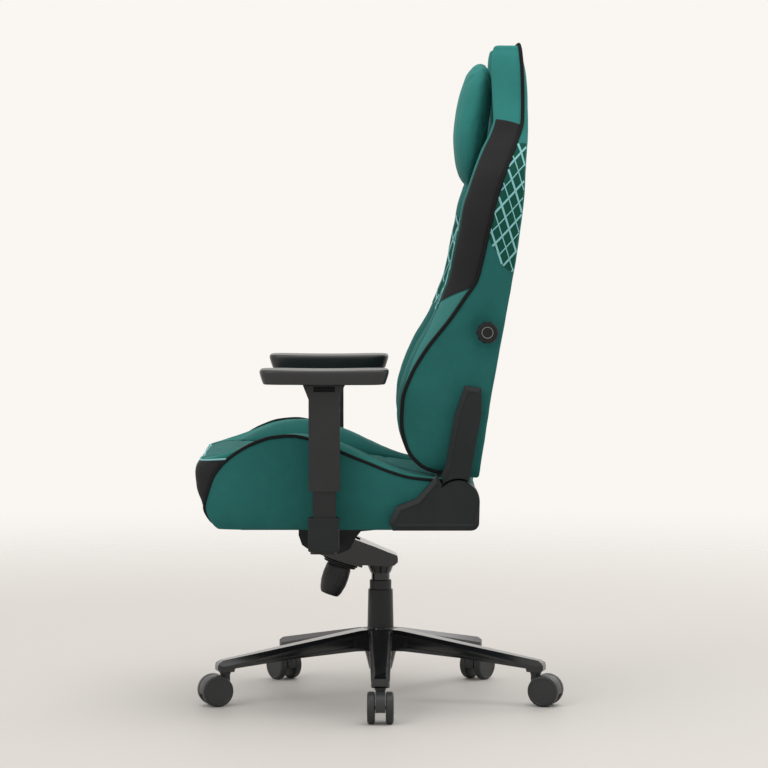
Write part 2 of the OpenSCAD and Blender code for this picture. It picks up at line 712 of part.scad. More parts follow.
base_star();
gas_tube();
guide_bush();
thrust_bearing();
piston_rod();
pressure_tube();
tilt_housing();
tension_collar();
tension_spring();
tension_knob();
tension_bolt();
pivot_bushes();
pivot_axle();
tilt_bracket();
sided("right") lever_rod();  // height_lever_rod
sided("right") lever_handle();  // height_lever_handle
lever_rod();  // lock_lever_rod
lever_handle();  // lock_lever_handle
seat_frame();
seat_webbing();
seat_bolts();
seat_cushion();
recliner_plates();
recline_rod();
recline_lever();
back_frame();
back_cushion();
lumbar_carriage();
lumbar_plate();
head_pillow();
for (s = SIDES) {
    sided(s) side_cover(s);
    sided(s) back_cover();
    sided(s) lumbar_knob();
    sided(s) arm_bracket();
    sided(s) arm_post();
    sided(s) arm_sleeve();
    sided(s) arm_button();
    sided(s) arm_swivel();
    sided(s) arm_slide();
    sided(s) arm_pad();
}
for (i = [1 : LEGS]) {
    caster_fork(i);
    caster_wheels(i);
}
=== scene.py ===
import json
import math
import bpy
import bmesh
import numpy as np
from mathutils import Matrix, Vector, noise


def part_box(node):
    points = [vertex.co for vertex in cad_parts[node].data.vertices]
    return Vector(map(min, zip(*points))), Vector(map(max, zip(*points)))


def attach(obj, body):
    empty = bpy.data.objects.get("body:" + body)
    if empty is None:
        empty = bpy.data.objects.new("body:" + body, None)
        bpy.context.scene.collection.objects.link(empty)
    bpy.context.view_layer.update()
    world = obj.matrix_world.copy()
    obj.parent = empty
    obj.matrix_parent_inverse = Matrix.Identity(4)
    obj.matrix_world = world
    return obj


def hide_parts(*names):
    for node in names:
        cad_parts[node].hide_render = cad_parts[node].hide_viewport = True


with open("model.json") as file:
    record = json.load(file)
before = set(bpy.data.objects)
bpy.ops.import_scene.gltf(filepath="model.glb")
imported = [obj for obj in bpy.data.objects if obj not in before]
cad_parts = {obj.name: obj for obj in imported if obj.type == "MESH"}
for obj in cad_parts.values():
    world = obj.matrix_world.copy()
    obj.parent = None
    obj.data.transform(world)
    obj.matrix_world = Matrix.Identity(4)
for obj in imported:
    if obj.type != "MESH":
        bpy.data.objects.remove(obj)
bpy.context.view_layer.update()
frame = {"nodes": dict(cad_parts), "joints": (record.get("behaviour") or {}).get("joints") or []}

MM = 0.001
SIDES = {"left": 1, "right": -1}          # the sitter's left is +X

# ---------------------------------------------------------------- mesh helpers


def smooth(points):
    """A monotone cubic through (position, value) points, held flat past both ends."""
    at, value = np.array(sorted(points), float).T
    step = np.diff(at)
    slope = np.diff(value) / step
    tangent = np.zeros(len(at))
    same = slope[:-1] * slope[1:] > 0
    w1, w2 = 2 * step[1:] + step[:-1], step[1:] + 2 * step[:-1]
    before, after = np.where(same, slope[:-1], 1), np.where(same, slope[1:], 1)
    tangent[1:-1][same] = ((w1 + w2) / (w1 / before + w2 / after))[same]
    tangent[0], tangent[-1] = slope[0], slope[-1]

    def f(x):
        x = np.clip(np.asarray(x, float), at[0], at[-1])
        i = np.clip(np.searchsorted(at, x, side="right") - 1, 0, len(step) - 1)
        t = (x - at[i]) / step[i]
        h00, h10 = (1 + 2 * t) * (1 - t) ** 2, t * (1 - t) ** 2
        h01, h11 = t * t * (3 - 2 * t), t * t * (t - 1)
        return (h00 * value[i] + h10 * step[i] * tangent[i] + h01 * value[i + 1]
                + h11 * step[i] * tangent[i + 1])
    return f


def shade_smooth(mesh):
    mesh.polygons.foreach_set("use_smooth", [True] * len(mesh.polygons))


def read_points(mesh):
    """A mesh's points in metres, one row each."""
    points = np.zeros(len(mesh.vertices) * 3)
    mesh.vertices.foreach_get("co", points)
    return points.reshape(-1, 3)


def write_points(mesh, points):
    mesh.vertices.foreach_set("co", points.ravel())
    mesh.update()


def box_mm(node):
    """The low and high corners of a CAD node in millimetres."""
    low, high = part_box(node)
    return low / MM, high / MM


def mesh_object(name, points, faces, material, body, shade=True):
    """A mesh piece from points in millimetres, welded, riding on a body."""
    mesh = bpy.data.meshes.new(name)
    mesh.from_pydata([tuple(p) for p in np.asarray(points, float) * MM], [], [tuple(f) for f in faces])
    bm = bmesh.new()
    bm.from_mesh(mesh)
    bmesh.ops.remove_doubles(bm, verts=bm.verts, dist=0.00005)
    bmesh.ops.dissolve_degenerate(bm, edges=bm.edges, dist=0.00002)
    bmesh.ops.recalc_face_normals(bm, faces=bm.faces)
    bm.to_mesh(mesh)
    bm.free()
    if shade:
        shade_smooth(mesh)
    piece = bpy.data.objects.new(name, mesh)
    bpy.context.scene.collection.objects.link(piece)
    piece.data.materials.append(material)
    if body:
        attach(piece, body)
    return piece


def grid_faces(rows, columns, closed=False, start=0):
    """Quads of a grid of points stored row by row."""
    faces = []
    for r in range(rows - 1):
        for c in range(columns if closed else columns - 1):
            a, b = start + r * columns + c, start + r * columns + (c + 1) % columns
            faces.append((a, b, b + columns, a + columns))
    return faces


def skin(rows, ends):
    """Points and faces of closed rows of points, with a fan over each row numbered in ends."""
    rows = np.asarray(rows)
    r, c = rows.shape[:2]
    points = list(rows.reshape(-1, 3))
    faces = grid_faces(r, c, closed=True)
    for row in ends:
        points.append(rows[row].mean(0))
        faces += [(row * c + k, row * c + (k + 1) % c, len(points) - 1) for k in range(c)]
    return points, faces


def add_modifier(piece, kind, **settings):
    modifier = piece.modifiers.new(kind.lower(), kind)
    for key, value in settings.items():
        setattr(modifier, key, value)
    return modifier


def apply_modifiers(piece):
    """Makes a piece's modifiers part of its mesh."""
    graph = bpy.context.evaluated_depsgraph_get()
    mesh = bpy.data.meshes.new_from_object(piece.evaluated_get(graph))
    piece.modifiers.clear()
    piece.data = mesh


def soften(piece, width, segments, angle):
    """Rounds a piece's sharp edges by width millimetres."""
    add_modifier(piece, "BEVEL", width=width * MM, segments=segments, limit_method="ANGLE",
                 angle_limit=math.radians(angle), harden_normals=False, miter_outer="MITER_ARC")
    shade_smooth(piece.data)
    add_modifier(piece, "WEIGHTED_NORMAL", keep_sharp=True)


def tube(name, path, radius, material, body, sides=8, closed=False):
    """A round cord of piping along a path in millimetres, with rounded ends."""
    path = np.asarray(path, float)
    keep = np.r_[True, np.linalg.norm(np.diff(path, axis=0), axis=1) > 0.05]
    path = path[keep]
    along = np.gradient(path, axis=0) if not closed else np.roll(path, -1, 0) - np.roll(path, 1, 0)
    along /= np.linalg.norm(along, axis=1)[:, None]
    normal = np.cross(along[0], [0.31, 0.17, 0.93])
    rings = []
    for p, d in zip(path, along):
        normal = normal - d * (normal @ d)
        normal /= np.linalg.norm(normal)
        side = np.cross(d, normal)
        angle = np.arange(sides) * 2 * math.pi / sides
        rings.append(p + radius * (np.cos(angle)[:, None] * normal + np.sin(angle)[:, None] * side))
    faces = grid_faces(len(rings) + (1 if closed else 0), sides, closed=True)
    count = len(rings) * sides
    faces = [tuple(i % count for i in f) for f in faces]
    points = list(np.concatenate(rings))
    if not closed:
        for ring, d in ((0, -along[0]), (len(rings) - 1, along[-1])):
            points.append(path[ring] + d * radius * 0.8)
            first = ring * sides
            faces += [(first + i, first + (i + 1) % sides, len(points) - 1) for i in range(sides)]
    return mesh_object(name, points, faces, material, body)


def outward(surface, s, v, v_step, small):
    """Points of a surface function and its unit normals there. v_step is the step along v, and a
    normal shorter than small before scaling becomes 0."""
    step = 0.004
    p = surface(s, v)
    ds = surface(s + step, v) - surface(s - step, v)
    dv = surface(s, v + step * v_step) - surface(s, v - step * v_step)
    n = np.cross(ds, dv)
    size = np.linalg.norm(n, axis=-1, keepdims=True)
    return p, np.where(size > small, n / np.maximum(size, small), 0)


def stitches(name, paths, material, body, length=3.6, gap=1.8, radius=0.45):
    """Short threads laid along paths in millimetres."""
    points, faces = [], []
    for path in paths:
        path = np.asarray(path, float)
        run = np.r_[0, np.cumsum(np.linalg.norm(np.diff(path, axis=0), axis=1))]
        at = np.arange(gap, run[-1] - length, length + gap)
        ends = [np.stack([np.interp(at + d, run, path[:, k]) for k in range(3)], 1)
                for d in (0, length / 2, length)]
        for a, m, b in zip(*ends):
            d = (b - a) / max(np.linalg.norm(b - a), 1e-6)
            u = np.cross(d, [0.3, 0.2, 0.93])
            u /= np.linalg.norm(u)
            w = np.cross(d, u)
            start = len(points)
            for centre, r in ((a, radius * 0.5), (m, radius), (b, radius * 0.5)):
                points += [centre + r * (math.cos(k * math.pi / 2) * u + math.sin(k * math.pi / 2) * w)
                           for k in range(4)]
            faces += grid_faces(3, 4, closed=True, start=start)
            faces += [tuple(start + i for i in (3, 2, 1, 0)), tuple(start + i for i in (8, 9, 10, 11))]
    return mesh_object(name, points, faces, material, body)


# ---------------------------------------------------------------- materials


class Shader:
    """Short names for building one Principled material."""

    def __init__(self, name):
        self.material = bpy.data.materials.new(name)
        self.material.use_nodes = True
        self.tree = self.material.node_tree
        self.shader = self.tree.nodes["Principled BSDF"]
        self.place = self.node("ShaderNodeTexCoord").outputs["Object"]

    def node(self, kind, inputs=None, **settings):
        made = self.tree.nodes.new(kind)
        for key, value in settings.items():
            setattr(made, key, value)
        for key, value in (inputs or {}).items():
            if isinstance(value, bpy.types.NodeSocket):
                self.tree.links.new(value, made.inputs[key])
            else:
                made.inputs[key].default_value = value
        return made

    def link(self, output, name):
        self.tree.links.new(output, self.shader.inputs[name])

    def set(self, **values):
        for key, value in values.items():
            self.shader.inputs[key.replace("_", " ")].default_value = value

    def noise(self, scale, detail=3.0, rough=0.55, vector=None):
        inputs = {"Vector": vector or self.place, "Scale": scale, "Detail": detail, "Roughness": rough}
        return self.node("ShaderNodeTexNoise", inputs).outputs["Fac"]

    def math(self, operation, a, b=0.0):
        return self.node("ShaderNodeMath", {0: a, 1: b}, operation=operation).outputs[0]

    def ramp(self, fac, *stops):
        made = self.node("ShaderNodeValToRGB", {"Fac": fac})
        elements = made.color_ramp.elements
        elements[0].position, elements[1].position = stops[0][0], stops[-1][0]
        elements[0].color, elements[1].color = (*stops[0][1], 1), (*stops[-1][1], 1)
        for at, colour in stops[1:-1]:
            elements.new(at).color = (*colour, 1)
        return made.outputs["Color"]

    def span(self, value, low, high):
        inputs = {"Value": value, "To Min": low, "To Max": high}
        return self.node("ShaderNodeMapRange", inputs).outputs["Result"]

    def stretched(self, x, y, z):
        return self.node("ShaderNodeMapping", {"Vector": self.place, "Scale": (x, y, z)}).outputs["Vector"]

    def bump(self, *layers):
        """layers are (height, distance in mm, strength)."""
        before = None
        for height, distance, strength in layers:
            inputs = {"Height": height, "Distance": distance * MM, "Strength": strength}
            if before is not None:
                inputs["Normal"] = before
            before = self.node("ShaderNodeBump", inputs).outputs["Normal"]
        self.link(before, "Normal")


def suede(name, dark, light, sheen=0.35, weave=1.0, painted_light_heights=None):
    """Brushed upholstery fabric: cloudy nap, a fine weave and a soft sheen.
    Two optional heights in metres give painted light: from the lower height to the upper one the cloth
    ramps to a lighter tone, standing for the stronger light on the upper back and head pillow."""
    m = Shader(name)
    cloud = m.noise(5.0, 4.0, 0.6)
    nap = m.noise(55.0, 3.0, 0.6)
    fine = m.noise(900.0, 2.0, 0.5)
    tone = m.math("ADD", m.math("MULTIPLY", cloud, 0.55), m.math("MULTIPLY", nap, 0.25))
    tone = m.math("ADD", tone, m.math("MULTIPLY", fine, 0.2))
    # painted light: higher up, the cloth ramps to a lighter tone that stands for the stronger light falling
    # on the head
    if painted_light_heights:
        height = m.node("ShaderNodeSeparateXYZ", {"Vector": m.place}).outputs["Z"]
        up = m.node("ShaderNodeMapRange", {"Value": height, "From Min": painted_light_heights[0], "From Max": painted_light_heights[1],
                                           "To Max": 0.36}).outputs["Result"]
        tone = m.math("ADD", m.math("MULTIPLY", tone, 0.64), up)
        brushed_grain_or_lit_tone = tuple(c * 1.45 for c in light)
        m.link(m.ramp(tone, (0.19, dark), (0.45, light), (0.72, brushed_grain_or_lit_tone)), "Base Color")
    else:
        m.link(m.ramp(tone, (0.3, dark), (0.7, light)), "Base Color")
    m.link(m.span(nap, 0.72, 0.92), "Roughness")
    wave = {"Vector": m.place, "Scale": 360.0, "Distortion": 0.6, "Detail": 1.0}
    threads = [m.node("ShaderNodeTexWave", wave, bands_direction=axis).outputs["Fac"] for axis in "YZX"]
    crossed = [m.math("MULTIPLY", threads[0], threads[1]), m.math("MULTIPLY", threads[2], threads[1])]
    cloth = m.math("ADD", *crossed)
    m.bump((nap, 0.8, 0.25), (cloth, 0.15 * weave, 0.35), (fine, 0.2, 0.3))
    tint = (*(min(1, c * 4 + 0.2) for c in light), 1)
    m.set(Sheen_Weight=sheen, Sheen_Roughness=0.45, Specular_IOR_Level=0.15, Sheen_Tint=tint)
    return m.material


def moulded(name, colour, rough=(0.38, 0.5), grain=600.0, depth=0.06, shine=0.4):
    """Moulded plastic with a spark-eroded grain and rubbed patches."""
    m = Shader(name)
    speckle = m.noise(grain, 2.0, 0.5)
    patch = m.noise(9.0, 4.0, 0.6)
    dark = tuple(c * 0.85 for c in colour)
    light = tuple(c * 1.2 + 0.002 for c in colour)
    m.link(m.ramp(m.math("ADD", m.math("MULTIPLY", patch, 0.7), m.math("MULTIPLY", speckle, 0.3)),
                  (0.35, dark), (0.7, light)), "Base Color")
    m.link(m.span(patch, *rough), "Roughness")
    m.bump((speckle, depth, 0.5))
    m.set(Specular_IOR_Level=shine)
    return m.material


def metal(name, colour, rough=(0.2, 0.35), metallic=1.0, brushed_grain_or_lit_tone=(1, 1, 40), coat=0.0):
    """Metal with a drawn or turned grain and light handling marks."""
    m = Shader(name)
    lines = m.noise(120.0, 3.0, 0.6, m.stretched(*brushed_grain_or_lit_tone))
    smear = m.noise(14.0, 4.0, 0.6)
    m.link(m.ramp(smear, (0.3, tuple(c * 0.88 for c in colour)), (0.7, colour)), "Base Color")
    mixed = m.math("ADD", m.math("MULTIPLY", lines, 0.5), m.math("MULTIPLY", smear, 0.5))
    m.link(m.span(mixed, *rough), "Roughness")
    m.bump((lines, 0.03, 0.3))
    m.set(Metallic=metallic, Coat_Weight=coat, Coat_Roughness=0.1,
          Specular_IOR_Level=0.5 if metallic else 0.3)
    return m.material


# The bolster-top suede below is the same teal taken lighter than the side suede: painted sheen for the
# light on the seat's bolster tops.
TEAL = suede("teal_suede", (0.013, 0.112, 0.102), (0.024, 0.170, 0.154), sheen=0.12)
# The pillow and side suedes turn lighter towards the top: painted light for the stronger light on the head.
TEAL_PILLOW = suede("teal_pillow_suede", (0.010, 0.082, 0.076), (0.018, 0.130, 0.120), sheen=0.1,
                    painted_light_heights=(1.06, 1.2))
TEAL_SIDE = suede("teal_side_suede", (0.010, 0.086, 0.080), (0.018, 0.130, 0.121), sheen=0.1,
                  painted_light_heights=(1.0, 1.22))
TEAL_LIGHT = suede("teal_gusset_suede", (0.028, 0.135, 0.125), (0.042, 0.180, 0.168), sheen=0.12)
BLACK_CLOTH = suede("black_suede", (0.012, 0.012, 0.013), (0.020, 0.020, 0.021), sheen=0.06)
PIPING = suede("piping_cloth", (0.005, 0.006, 0.006), (0.010, 0.011, 0.012), sheen=0.03, weave=2.0)
LATTICE_DARK = suede("lattice_ground", (0.002, 0.050, 0.034), (0.005, 0.074, 0.052), sheen=0.04)
LATTICE_LINE = suede("lattice_thread", (0.170, 0.400, 0.415), (0.240, 0.520, 0.540), sheen=0.1)
THREAD = suede("seam_thread", (0.010, 0.080, 0.070), (0.020, 0.120, 0.105), sheen=0.05)
LINING = suede("underside_lining", (0.008, 0.008, 0.009), (0.014, 0.014, 0.015), sheen=0.02)
COVER = moulded("cover_plastic", (0.011, 0.014, 0.015), shine=0.2)
PLASTIC = moulded("black_plastic", (0.011, 0.012, 0.013), shine=0.35)
# The lumbar knobs' plastic is taken darker than the other black plastic: painted shade for the shadow round
# the knobs.
KNOB_PLASTIC_SHADED = moulded("knob_plastic", (0.0065, 0.007, 0.0075), shine=0.25)
# The arm buttons' plastic is black, taken darker and duller than the other plastic: painted shade for the
# recess the button sits in.
BUTTON = moulded("button_plastic", (0.003, 0.003, 0.004), shine=0.1)
RING = moulded("grey_ring", (0.16, 0.17, 0.17), shine=0.4)
NYLON = moulded("caster_nylon", (0.020, 0.022, 0.023), rough=(0.3, 0.45), shine=0.35)
SOFT_TOUCH = moulded("pad_foam", (0.014, 0.015, 0.017), rough=(0.28, 0.4), grain=900.0, depth=0.03,
                     shine=0.5)
CASTING = metal("painted_casting", (0.006, 0.007, 0.008), rough=(0.14, 0.22), metallic=0.0, coat=0.5)
TUBE_PAINT = metal("painted_tube", (0.010, 0.011, 0.012), rough=(0.3, 0.42), metallic=0.0,
                   brushed_grain_or_lit_tone=(1, 1, 1))
STEEL = metal("turned_steel", (0.56, 0.56, 0.57))
FRAME_PAINT = metal("powder_coat", (0.012, 0.012, 0.014), rough=(0.5, 0.65), metallic=0.0)
BUSH = moulded("bush_plastic", (0.7, 0.68, 0.62))

# ---------------------------------------------------------------- back: surface

# Fore and aft places of the back's lines by height, in mm
centre_front = smooth([(474, 158), (490, 134), (520, 118), (580, 106), (650, 100), (720, 108), (800, 134),
                       (900, 169), (1000, 200), (1100, 227), (1196, 236), (1300, 231), (1345, 231)])
crest_front = smooth([(474, 170), (480, 155), (490, 98), (508, 72), (534, 52), (557, 42.5), (574, 38),
                      (608, 34), (643, 36), (677, 44), (711, 57), (745, 72.7), (779, 93.5), (813, 110.5),
                      (847, 124), (881, 136.5), (915, 143.7), (949, 151), (983, 157.5), (1017, 162.5),
                      (1051, 173), (1089, 186), (1133, 203.5), (1165, 219), (1196, 228), (1240, 226),
                      (1300, 224), (1330, 226), (1345, 231)])
band_front = smooth([(474, 172), (480, 157), (490, 103), (508, 79), (540, 56), (600, 44), (650, 47),
                     (694, 57), (733, 73), (779, 96.5), (813, 112.5), (847, 126), (881, 138.5),
                     (915, 145.7), (949, 153), (983, 159.5), (1017, 164.5), (1051, 175), (1089, 188),
                     (1133, 205.5), (1165, 221), (1196, 230.5), (1240, 232), (1345, 235)])
piping_line = smooth([(474, 176), (482, 140), (503, 82), (542, 52), (592, 42), (632, 44), (682, 60),
                      (732, 89), (796, 139), (842, 171), (872, 191), (908, 201), (962, 213), (1032, 229),
                      (1092, 249), (1142, 269), (1196, 285), (1240, 286), (1300, 284.5), (1345, 281)])
rear_line = smooth([(474, 198.5), (555, 209.5), (617, 218.5), (677, 229.5), (739, 240.5), (800, 252),
                    (860, 263), (892, 268), (940, 275), (988, 281.5), (1036, 287), (1084, 290),
                    (1132, 293.5), (1181, 297.5), (1230, 298), (1278, 294.5), (1327, 287), (1345, 284)])
# Half widths by height
outer_half = smooth([(474, 225), (500, 246), (560, 258), (620, 262), (700, 256), (770, 248), (860, 246),
                     (940, 258), (1010, 268), (1075, 262), (1130, 232), (1180, 190), (1240, 165),
                     (1300, 155), (1330, 146), (1345, 132)])
panel_half = smooth([(474, 148), (1000, 146), (1100, 134), (1200, 118), (1345, 108)])
crest_in = smooth([(474, 20), (560, 32), (700, 38), (1000, 50), (1100, 40), (1180, 20), (1345, 12)])
BACK_BOTTOM, BACK_TOP = 476, 1343
REAR_ROUND = 2                             # depth of the soft turn from the sides to the rear face
BACK_CHANNELS = (640, 760, 880, 1000)      # heights of the sewn channels
KNOB_PLACE = (214, 775)                    # (y, z) of the side knob's middle
KNOB_DIMPLE = 34                           # reach of the hollow that the knob sits in
HINGE_ROUND = 43                           # radius of the lower hinge cover's round joint


def head_share(z):
    """0 below the head block and 1 on it, where the section is squarer and flatter."""
    t = np.clip((np.asarray(z, float) - 1120) / 70, 0, 1)
    return t * t * (3 - 2 * t)


def back_base(s, z):
    """The back's side +X: s runs 0-1 over the centre panel, 1-2 up the wing, 2-3 over its crest,
    3-4 over the gusset, 4-5 down the side and 5-6 over the rear."""
    s, z = np.broadcast_arrays(np.clip(np.asarray(s, float), 0, 6), np.asarray(z, float))
    i = np.minimum(s.astype(int), 5)
    t = s - i
    half, xb, xc = outer_half(z), panel_half(z), outer_half(z) - crest_in(z)
    yc, yw, yd, ye, yr = centre_front(z), crest_front(z), band_front(z), piping_line(z), rear_line(z)
    yb = np.minimum(yc + 5, ye + 60)
    depth = np.maximum(ye - yw, 0.5)
    square = 1 - 0.55 * head_share(z)
    turn = np.arccos(np.clip(1 - (yd - yw) / depth, 0.12, 0.97) ** (1 / square))
    quarter = t * math.pi / 2
    crest = np.where(i == 2, turn * t, turn + (math.pi / 2 - turn) * (1 - (1 - t) ** (1 / square)))
    x_rear, y_rear = half - 10, yr - REAR_ROUND
    stretch = [i == 0, i == 1, i <= 3, i == 4]
    x = np.select(stretch,
                  [xb * t, xb + (xc - xb) * (1 - np.cos(quarter)),
                   xc + (half - xc) * np.sin(crest) ** square, half + (x_rear - half) * t],
                  x_rear * (1 - t))
    y = np.select(stretch,
                  [yc + (yb - yc) * t * t, yb + (yw - yb) * np.sin(quarter),
                   yw + depth * (1 - np.cos(crest).clip(0) ** square), ye + (y_rear - ye) * t],
                  y_rear + REAR_ROUND * (1 - (1 - t) ** 8))
    return np.stack([x, y, z], -1)


def swell(t, power=0.7):
    """Padding between two seams at t 0 and 1."""
    return np.sin(np.pi * np.clip(t, 0, 1)) ** power


def fade(z, low, high, soft):
    """1 between two heights, 0 outside, with soft ends."""
    return np.clip((z - low) / soft, 0, 1) * np.clip((high - z) / soft, 0, 1)


def wrinkle(p, scale, amount):
    """Small soft unevenness of stuffed fabric, the same at every run."""
    flat = p.reshape(-1, 3)
    values = [noise.fractal(Vector(q) / scale, 0.9, 2.0, 3) for q in flat]
    return np.array(values).reshape(p.shape[:-1]) * amount


def back_puff(s, z):
    """How far the padding stands off the back's base section, in mm."""
    i = np.minimum(np.asarray(s, float).astype(int), 5)
    t = s - i
    groove = -2.2 * (np.exp(-(np.abs(s - 1) / 0.03) ** 2) + 0.5 * np.exp(-(np.abs(s - 3) / 0.05) ** 2))
    ends = fade(z, BACK_BOTTOM - 4, BACK_TOP + 4, 40) * (1 - 0.7 * head_share(z))
    channels = sum(np.exp(-((z - c) / 4.0) ** 2) for c in BACK_CHANNELS)
    behind_pillow = np.clip((z - 990) / 70, 0, 1)
    crown = np.cos(np.clip(t, 0, 1) * math.pi / 2) ** 0.7
    centre = (5 - 4.5 * behind_pillow) * crown - 3.0 * channels * (t < 0.999)
    line = piping_line(z)
    y = line + (rear_line(z) - REAR_ROUND - line) * t
    knob = np.exp(-((y - KNOB_PLACE[0]) ** 2 + (z - KNOB_PLACE[1]) ** 2) / KNOB_DIMPLE ** 2)
    panel = 5 * swell(t) * (1 - knob) - 7 * knob * np.clip(4 * t * (1 - t), 0, 1)
    mid = np.select([i == 0, i == 1, i == 4, i == 5],
                    [centre, 4 * swell(t), panel, swell(np.minimum(2 * t, 0.5))], 0.0)
    return (mid + groove) * ends


def back_surface(s, z):
    """The padded surface of the back: points and outward normals."""
    p, n = outward(back_base, s, z, 20, 1e-6)
    return p + n * (back_puff(s, z) + wrinkle(p, 70, 1.0))[..., None], n


def ring_stations(counts):
    """Places along a section, the given number of steps for each stretch between seams."""
    return np.concatenate([i + np.arange(c) / c for i, c in enumerate(counts)] + [[len(counts)]])


def closed_loft(name, half_rows, material, body):
    """A closed skin from half sections whose first and last points lie on the middle plane, with
    both ends drawn shut."""
    half = np.asarray(half_rows)
    other = half[:, -2:0:-1] * [-1, 1, 1]
    points, faces = skin(np.concatenate([half, other], 1), (0, len(half) - 1))
    return mesh_object(name, points, faces, material, body)


def cap_rows(ring, radius, up, steps=5, shrink=(0.6, 0.3, 0.08)):
    """Rows that round a section over and close it towards its middle."""
    middle_y = (ring[:, 1].min() + ring[:, 1].max()) / 2
    reach_x, reach_y = np.abs(ring[:, 0]).max(), (ring[:, 1].max() - ring[:, 1].min()) / 2
    rows = []
    for k in range(1, steps + 1):
        a = k / steps * math.pi / 2
        inset = radius * (1 - math.cos(a))
        row = ring.copy()
        row[:, 0] *= 1 - inset / reach_x
        row[:, 1] = middle_y + (row[:, 1] - middle_y) * (1 - inset / reach_y)
        row[:, 2] += up * radius * math.sin(a)
        rows.append(row)
    last = rows[-1]
    for share in shrink:
        row = last.copy()
        row[:, 0] *= share
        row[:, 1] = middle_y + (last[:, 1] - middle_y) * share
        row[:, 2] += up * 1.5 * (1 - share)
        rows.append(row)
    return rows


def build_back():
    """The back's padded cover, whose lower end slants clear of the seat's rear roll when it reclines."""
    stations = ring_stations([26, 18, 12, 12, 26, 34])
    heights = np.arange(BACK_BOTTOM + 7, BACK_TOP - 6, 5.5)
    p = back_surface(*np.meshgrid(stations, heights))[0]
    p[:, 0, 0] = p[:, -1, 0] = 0
    rows = np.array([*cap_rows(p[0], 7, -1)[::-1], *p, *cap_rows(p[-1], 9, 1)])
    low = np.clip((500 - rows[..., 2]) / 24, 0, 1)
    rows[..., 2] += low * np.clip((197 - rows[..., 1]) / 7, 0, 6)
    return closed_loft("back_upholstery", rows, TEAL_SIDE, "back")


def overlay(name, surface, s, v, material, body, slot, lift, side):
    """A thin panel laid on a surface: s and v are grids of surface coordinates."""
    p, n = surface(s, v)
    edge = np.zeros(s.shape)
    edge[[0, -1], :] = edge[:, [0, -1]] = 1
    p = p + n * np.where(edge > 0, -0.6, lift)[..., None]
    p = p * [side, 1, 1]
    return mesh_object(name, p.reshape(-1, 3), grid_faces(*s.shape), material, body)


def shared_grid(s_low, s_high, v_low, v_high, across, along):
    """A grid between two ends in s, whose v limits are functions of the share across."""
    u, w = np.meshgrid(np.linspace(0, 1, across), np.linspace(0, 1, along))
    low, high = v_low(u), v_high(u)
    return s_low + (s_high - s_low) * u, low + (high - low) * w


def level(value):
    """A limit that is the same all the way across."""
    return lambda u: value + 0 * u


def lattice(name, place, inside, rows, scale, side):
    """Light threads of a slanted lattice on the back, alternately thick and thin, cut at a region's
    edge. place turns flat (y, z) points in mm into surface coordinates; inside tells which are in."""
    points, faces = [], []
    origin, steps = np.array([255.0, 977.0]), np.array([[13.5, 14.4], [7.4, -22.75]]) * scale
    for family in (0, 1):
        along, across = steps[family], steps[1 - family]
        direction = along / np.linalg.norm(along)
        square = np.array([-direction[1], direction[0]])
        for number in range(-rows, rows + 1):
            wide = 2.2 if number % 2 == 0 else 1.25
            share = np.arange(-rows, rows, 0.12)
            line = origin + number * across + share[:, None] * along
            kept = inside(line[:, 0], line[:, 1])
            cuts = np.flatnonzero(np.diff(np.r_[0, kept.astype(int), 0]))
            for first, last in zip(cuts[::2], cuts[1::2]):
                if last - first < 3:
                    continue
                run = line[first:last]
                start = len(points)
                for k, up in ((-1, 0.2), (-0.6, 1.3), (0.6, 1.3), (1, 0.2)):
                    flat = run + square * (k * wide)
                    p, n = back_surface(*place(flat[:, 0], flat[:, 1]))
                    points += list((p + n * up) * [side, 1, 1])
                faces += grid_faces(4, len(run), start=start)
    mesh_object(f"{name}_threads", points, faces, LATTICE_LINE, "back")


# The side pattern's front edge by height, where it leaves the piping
pattern_front = smooth([(889, 261), (905, 242), (924, 234), (941, 222), (960, 213), (975, 216),
                        (1032, 232), (1092, 252), (1142, 272), (1150, 280)])
PATTERN_LOW, PATTERN_HIGH = 889, 1147      # heights of the side pattern's ends
WING_LOW, WING_HIGH, WING_IN = 812, 998, 1.5       # the wing pattern's ends, and where it starts in s
CREST_FLAT, SLOPE_FLAT = 38, 75            # mm per unit of s on the wing's crest and inner slope


def pattern_rear(z):
    """The side pattern's rear edge by height."""
    return rear_line(z) - REAR_ROUND - 0.5


def side_panel_place(y, z):
    """Surface coordinates on the back's side panel."""
    line, rear = piping_line(z), rear_line(z) - REAR_ROUND
    return 4 + (y - line) / np.maximum(rear - line, 1), z


def side_panel_inside(y, z):
    return (z > PATTERN_LOW) & (z < PATTERN_HIGH) & (y > pattern_front(z)) & (y < pattern_rear(z))


def wing_place(y, z):
    """Surface coordinates on the wing: y runs back from its inner slope to the seam with the band."""
    inner = 330 - y
    return np.where(inner < CREST_FLAT, 3 - inner / CREST_FLAT, 2 - (inner - CREST_FLAT) / SLOPE_FLAT), z


def wing_inside(y, z):
    s = wing_place(y, z)[0]
    return (z > WING_LOW + 14 * np.clip(s - 2, 0, 1)) & (z < WING_HIGH) & (s > WING_IN) & (s < 2.35)


